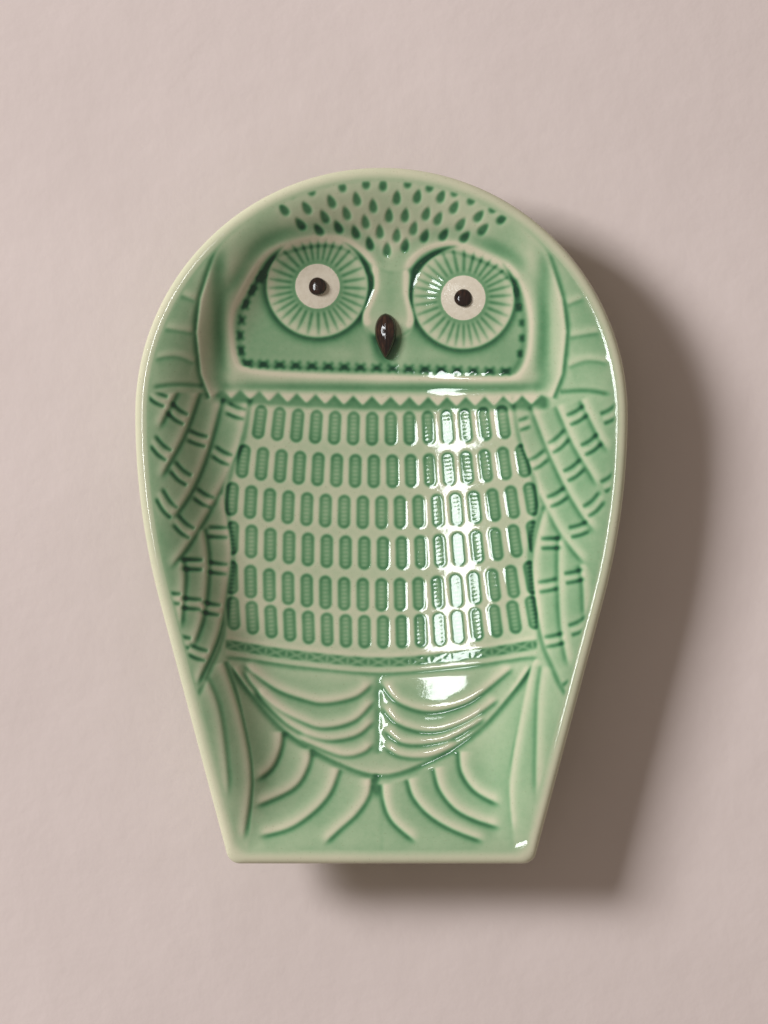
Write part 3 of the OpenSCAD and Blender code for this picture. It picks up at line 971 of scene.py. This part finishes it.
def loft(name, rings, material, pool=None, ring_shaped=False):
    """A closed solid through rings of as many points each; its ends are capped, or joined."""
    count = len(rings[0])
    points = np.vstack(rings)
    pairs = [(k, k + 1) for k in range(len(rings) - 1)]
    if ring_shaped:
        pairs.append((len(rings) - 1, 0))
    faces = [
        [a * count + i, a * count + (i + 1) % count, b * count + (i + 1) % count, b * count + i]
        for a, b in pairs
        for i in range(count)
    ]
    if not ring_shaped:
        last = len(points)
        points = np.vstack([points, rings[0].mean(0), rings[-1].mean(0)])
        faces += [[(i + 1) % count, i, last] for i in range(count)]
        start = last - count
        faces += [[start + i, start + (i + 1) % count, last + 1] for i in range(count)]
        if pool is not None:
            pool = np.concatenate([pool, [pool[0], pool[-1]]])
    return solid(name, points, faces, material, pool)


def ring_at(inset, height, scale=1.0):
    plan = outline(inset) * scale
    return np.column_stack([plan, np.broadcast_to(height, len(plan))])


def make_dish():
    """Lip, glazed outside wall, underside, and the hidden clay under the relief."""
    rings, pool = [], []

    def add(inset, height, depth, scale=1.0):
        rings.append(ring_at(inset, height, scale))
        pool.append(np.full(len(rings[-1]), depth))

    def add_inside(inset, sunk, depth, scale=1.0):
        x, y = outline(inset).T * scale
        add(inset, inside_z(x, y, inset) - sunk, depth, scale)

    for scale in (0.3, 0.65):
        add(UNDER_IN, FOOT_H, 0.5, scale)
    for inset in (UNDER_IN, 36, 32, 28, 24, 20, 16.5, 13, 10, 7.5, 5, 3, 1.4):
        add(inset, outside_z(inset), 0.3 + 0.3 * smooth(8, 38, inset))
    for turn in np.linspace(0, math.pi / 2, 11):
        inset = CREST_IN * (1 - math.cos(turn))
        add(inset, RIM_Z - LIP_DROP * (1 - math.sin(turn)), rim_tint(inset))
    for inset in (CREST_IN + 0.4, CREST_IN + 0.8, CREST_IN + 1.25, RELIEF_EDGE, RELIEF_EDGE + 0.35):
        add_inside(inset, 0.02 * (inset > RELIEF_EDGE), rim_tint(inset))
    for inset in (RELIEF_EDGE + 0.4, 7, 9.5, 12, 15, 19, 24, 30, WALL_IN):
        add_inside(inset, UNDER_BED, HIDDEN_TINT)
    for scale in (0.75, 0.5, 0.25):
        add_inside(WALL_IN, UNDER_BED, HIDDEN_TINT, scale)
    keep(loft("dish_rim_and_wall", rings, celadon, np.concatenate(pool)), "celadon_glaze", "dish_body")


def make_foot():
    """The unglazed ring, its tread worn round."""
    soft, flank, tread = 0.9, 0.3, 0.4
    inner = FOOT_IN + FOOT_W
    turns = np.linspace(0, math.pi / 2, 5)
    section = [(FOOT_IN, FOOT_H), (FOOT_IN + flank, FOOT_H * 0.5)]
    for a in turns:
        section.append((FOOT_IN + tread + soft * (1 - math.cos(a)), soft * (1 - math.sin(a))))
    for a in turns:
        section.append((inner - tread - soft * (1 - math.sin(a)), soft * (1 - math.cos(a))))
    section += [(inner - flank, FOOT_H * 0.5), (inner, FOOT_H)]
    rings = [ring_at(inset, height) for inset, height in reversed(section)]
    keep(loft("foot_ring_turned", rings, bare_clay, ring_shaped=True), "bare_clay", "foot_ring")


beak_low, beak_high = box_mm("beak")
BEAK_X = (beak_low[0] + beak_high[0]) / 2
pupil_low, pupil_high = box_mm("left_pupil")
PUPIL_R = (pupil_high[0] - pupil_low[0]) / 2
DOME_RINGS = 12                     # rings in the rise of the beak and of a pupil


def make_beak():
    """A leaf-shaped drop with a rounded back and a soft keel, its tip down."""
    half, length = (beak_high[0] - beak_low[0]) / 2, beak_high[1] - beak_low[1]
    t = np.linspace(0, 1, 33)
    side = half * np.sin(math.pi * t ** 0.72) ** 0.75
    y = beak_high[1] - length * t
    plan = np.vstack([np.column_stack([-side, y]), np.column_stack([side, y])[-2:0:-1]])
    heart = np.array((0, beak_high[1] - 0.36 * length))
    floor = beak_low[2] - 0.6
    rise = (beak_high[2] - floor) * 0.8
    rings = [np.column_stack([plan + (BEAK_X, 0), np.full(len(plan), floor)])]
    for k in range(1, DOME_RINGS + 1):
        a = k / (DOME_RINGS + 1) * math.pi / 2
        s = math.cos(a) ** 0.5
        ring = heart + (plan - heart) * s
        fall = np.clip((heart[1] - ring[:, 1]) / (heart[1] - beak_low[1]), 0, 1)
        z = floor + rise * math.sin(a) ** 0.45 * (1 - 0.1 * fall**1.5)
        z += 0.25 * np.exp(-((ring[:, 0] / 0.8) ** 2)) * (1 - s)
        rings.append(np.column_stack([ring + (BEAK_X, 0), z]))
    keep(loft("beak_drop", rings, brown_glaze), "brown_glaze", "beak")


def make_pupil(side):
    """A glossy bead, slightly flattened, that sits in a scored ring."""
    low, high = box_mm(side + "_pupil")
    centre = (low + high) / 2
    floor = low[2] - 0.3
    rise = (high[2] - floor) * 0.4
    around = np.linspace(0, 2 * math.pi, 48, endpoint=False)
    uneven = (PUPIL_R + 0.3) * (1 + 0.02 * np.sin(3 * around + centre[0]))
    rings = []
    for k in range(DOME_RINGS):
        a = k / DOME_RINGS * math.pi / 2
        r = uneven * math.cos(a) ** 0.4
        z = np.full(len(r), floor + rise * math.sin(a) ** 0.9)
        rings.append(np.column_stack([centre[0] + r * np.cos(around), centre[1] + r * np.sin(around), z]))
    keep(loft(side + "_pupil_bead", rings, brown_glaze), "brown_glaze", side + "_pupil")


# ---- materials ----


def linear(*rgb):
    """The linear value of a colour given as 0 to 255 in sRGB."""
    return (*[(c / 255 / 12.92) if c < 11 else ((c / 255 + 0.055) / 1.055) ** 2.4 for c in rgb], 1.0)


class Shader:
    """A Principled material, with a few ways to feed it patterns."""

    def __init__(self, name, **settings):
        self.material = bpy.data.materials.new(name)
        self.material.use_nodes = True
        self.tree = self.material.node_tree
        self.surface = self.tree.nodes["Principled BSDF"]
        for socket, value in settings.items():
            self.surface.inputs[socket.replace("_", " ")].default_value = value
        self.place = self.tree.nodes.new("ShaderNodeTexCoord").outputs["Object"]

    def feed(self, socket, value):
        """Sets an input, or links it to another node's output."""
        if isinstance(value, (int, float, tuple)):
            socket.default_value = value
        else:
            self.tree.links.new(value, socket)

    def noise(self, scale, detail=3.0, roughness=0.55):
        node = self.tree.nodes.new("ShaderNodeTexNoise")
        settings = {"Scale": scale, "Detail": detail, "Roughness": roughness, "Vector": self.place}
        for socket, value in settings.items():
            self.feed(node.inputs[socket], value)
        return node.outputs["Fac"]

    def math(self, operation, a, b=0.0, c=0.0):
        node = self.tree.nodes.new("ShaderNodeMath")
        node.operation = operation
        for socket, value in zip(node.inputs, (a, b, c)):
            self.feed(socket, value)
        return node.outputs[0]

    def ramp(self, factor, stops):
        node = self.tree.nodes.new("ShaderNodeValToRGB")
        node.color_ramp.interpolation = "EASE" if len(stops) == 2 else "LINEAR"
        elements = node.color_ramp.elements
        while len(elements) < len(stops):
            elements.new(0.5)
        for element, (at, colour) in zip(elements, stops):
            element.position = at
            element.color = colour
        self.feed(node.inputs["Fac"], factor)
        return node.outputs["Color"]

    def mix(self, factor, a, b):
        node = self.tree.nodes.new("ShaderNodeMix")
        node.data_type = "RGBA"
        for socket, value in ((0, factor), (6, a), (7, b)):
            self.feed(node.inputs[socket], value)
        return node.outputs[2]

    def colour(self, value):
        self.feed(self.surface.inputs["Base Color"], value)

    def bump(self, height, distance, strength=1.0):
        node = self.tree.nodes.new("ShaderNodeBump")
        for socket, value in {"Strength": strength, "Distance": distance, "Height": height}.items():
            self.feed(node.inputs[socket], value)
        self.feed(self.surface.inputs["Normal"], node.outputs["Normal"])

    def roughness(self, value):
        self.feed(self.surface.inputs["Roughness"], value)


def make_celadon():
    """Translucent green glaze over a pale body: pale where it is thin, deep green where it pools."""
    s = Shader("celadon_glaze", IOR=1.5, Coat_Weight=0.3, Coat_Roughness=0.02)
    pool = s.tree.nodes.new("ShaderNodeAttribute")
    pool.attribute_name = "pool"
    cloud = s.math("MULTIPLY_ADD", s.noise(28, 2), 0.16, -0.08)
    mottle = s.math("MULTIPLY_ADD", s.noise(420, 4, 0.6), 0.1, -0.05)
    depth = s.math("ADD", s.math("ADD", pool.outputs["Fac"], cloud), mottle)
    glaze = s.ramp(depth, [
        (0.0, linear(206, 199, 170)), (0.15, linear(189, 191, 159)), (0.36, linear(157, 176, 139)),
        (0.55, linear(115, 152, 111)), (0.7, linear(80, 127, 86)), (0.85, linear(48, 94, 62)),
        (1.0, linear(24, 62, 42)),
    ])
    speck = s.ramp(s.noise(1500, 1), [(0.26, (1, 1, 1, 1)), (0.33, (0, 0, 0, 1))])
    s.colour(s.mix(s.math("MULTIPLY", speck, 0.25), glaze, linear(120, 110, 80)))
    s.roughness(s.math("MULTIPLY_ADD", s.noise(160, 2), 0.04, 0.03))
    s.bump(s.noise(340, 2), 0.00004, 0.4)
    return s.material


def make_white():
    """Cream slip under clear glaze, faintly mottled with stain."""
    s = Shader("white_slip_glaze", IOR=1.5, Coat_Weight=0.4, Coat_Roughness=0.04)
    stain = s.ramp(s.noise(520, 4, 0.65), [(0.3, linear(205, 194, 172)), (0.65, linear(212, 202, 181))])
    s.colour(stain)
    s.roughness(s.math("MULTIPLY_ADD", s.noise(300, 2), 0.1, 0.12))
    s.bump(s.noise(700, 3), 0.00012, 0.5)
    return s.material


def make_brown():
    """Dark iron glaze that breaks to red-brown in streaks."""
    s = Shader("brown_iron_glaze", IOR=1.52, Coat_Weight=0.6, Coat_Roughness=0.03)
    stretch = s.tree.nodes.new("ShaderNodeMapping")
    stretch.inputs["Scale"].default_value = (1.0, 0.22, 1.0)
    s.tree.links.new(s.place, stretch.inputs["Vector"])
    s.place = stretch.outputs["Vector"]
    streak = s.noise(900, 4, 0.6)
    browns = [(0.35, linear(20, 12, 9)), (0.52, linear(40, 24, 17)), (0.72, linear(72, 46, 30))]
    s.colour(s.ramp(streak, browns))
    s.roughness(s.math("MULTIPLY_ADD", streak, 0.1, 0.06))
    s.bump(s.noise(600, 3), 0.0001, 0.4)
    return s.material


def make_clay():
    """Bare fired stoneware: buff, sandy, with dark grains."""
    s = Shader("bare_stoneware", Roughness=0.85)
    body = s.ramp(s.noise(260, 5, 0.65), [(0.3, linear(176, 158, 132)), (0.7, linear(206, 190, 164))])
    grain = s.ramp(s.noise(1900, 1), [(0.3, (1, 1, 1, 1)), (0.36, (0, 0, 0, 1))])
    s.colour(s.mix(grain, body, linear(96, 80, 62)))
    s.roughness(s.math("MULTIPLY_ADD", s.noise(500, 3), 0.2, 0.7))
    s.bump(s.noise(1400, 4), 0.0003, 0.7)
    return s.material


def make_floor_paint():
    s = Shader("pale_floor", Roughness=0.75)
    s.colour(s.ramp(s.noise(9, 3), [(0.3, linear(208, 193, 185)), (0.7, linear(213, 198, 190))]))
    s.bump(s.noise(55, 4), 0.0012, 0.35)
    return s.material


# ---- stage, lights and camera ----


def make_stage():
    reach = 4.0
    corners = [(reach * x, reach * y, 0) for x, y in ((-1, -1), (1, -1), (1, 1), (-1, 1))]
    mesh = bpy.data.meshes.new("floor")
    mesh.from_pydata(corners, [], [(0, 1, 2, 3)])
    mesh.materials.append(make_floor_paint())
    floor = bpy.data.objects.new("floor", mesh)
    bpy.context.scene.collection.objects.link(floor)


def area_light(name, place, target, size, power, colour=(1, 1, 1)):
    data = bpy.data.lights.new(name, "AREA")
    data.shape = "RECTANGLE"
    data.size, data.size_y = size
    data.energy = power
    data.color = colour
    light = bpy.data.objects.new(name, data)
    light.location = place
    light.rotation_mode = "QUATERNION"
    light.rotation_quaternion = (Vector(target) - Vector(place)).to_track_quat("-Z", "Y")
    bpy.context.scene.collection.objects.link(light)
    return light


def make_lights():
    """A strip over the left of the dish, a broad soft key from the upper left, and a pale room."""
    strip_place, strip_target = (-0.18, 0.075, 1.3), (0.02, 0.01, 0.02)
    strip = area_light("strip", strip_place, strip_target, (0.23, 0.09), 1.0, (0.95, 0.98, 1.0))
    strip.visible_diffuse = False
    key = area_light("key", (-2.9, 1.3, 2.2), (0, 0, 0), (1.15, 1.15), 198, (0.925, 0.94, 1.0))
    key.visible_glossy = False
    world = bpy.data.worlds.new("room")
    world.use_nodes = True
    world.node_tree.nodes["Background"].inputs["Color"].default_value = (1.0, 0.865, 0.765, 1)
    world.node_tree.nodes["Background"].inputs["Strength"].default_value = 0.263
    bpy.context.scene.world = world


def make_camera():
    """Straight above the dish, the owl's head up the picture."""
    height, seen, plane = 2.5, 0.3678, 0.029
    data = bpy.data.cameras.new("camera")
    data.sensor_width = 36
    data.lens = (height - plane) * data.sensor_width / seen
    camera = bpy.data.objects.new("camera", data)
    camera.location = (0.0009, 0.0013, height)
    bpy.context.scene.collection.objects.link(camera)
    bpy.context.scene.camera = camera


celadon = make_celadon()
white_glaze = make_white()
brown_glaze = make_brown()
bare_clay = make_clay()

make_camera()
make_lights()
make_stage()
make_relief_pieces()
make_dish()
make_foot()
make_beak()
for eye_side in ("left", "right"):
    make_pupil(eye_side)

bpy.context.scene.view_settings.view_transform = "Standard"
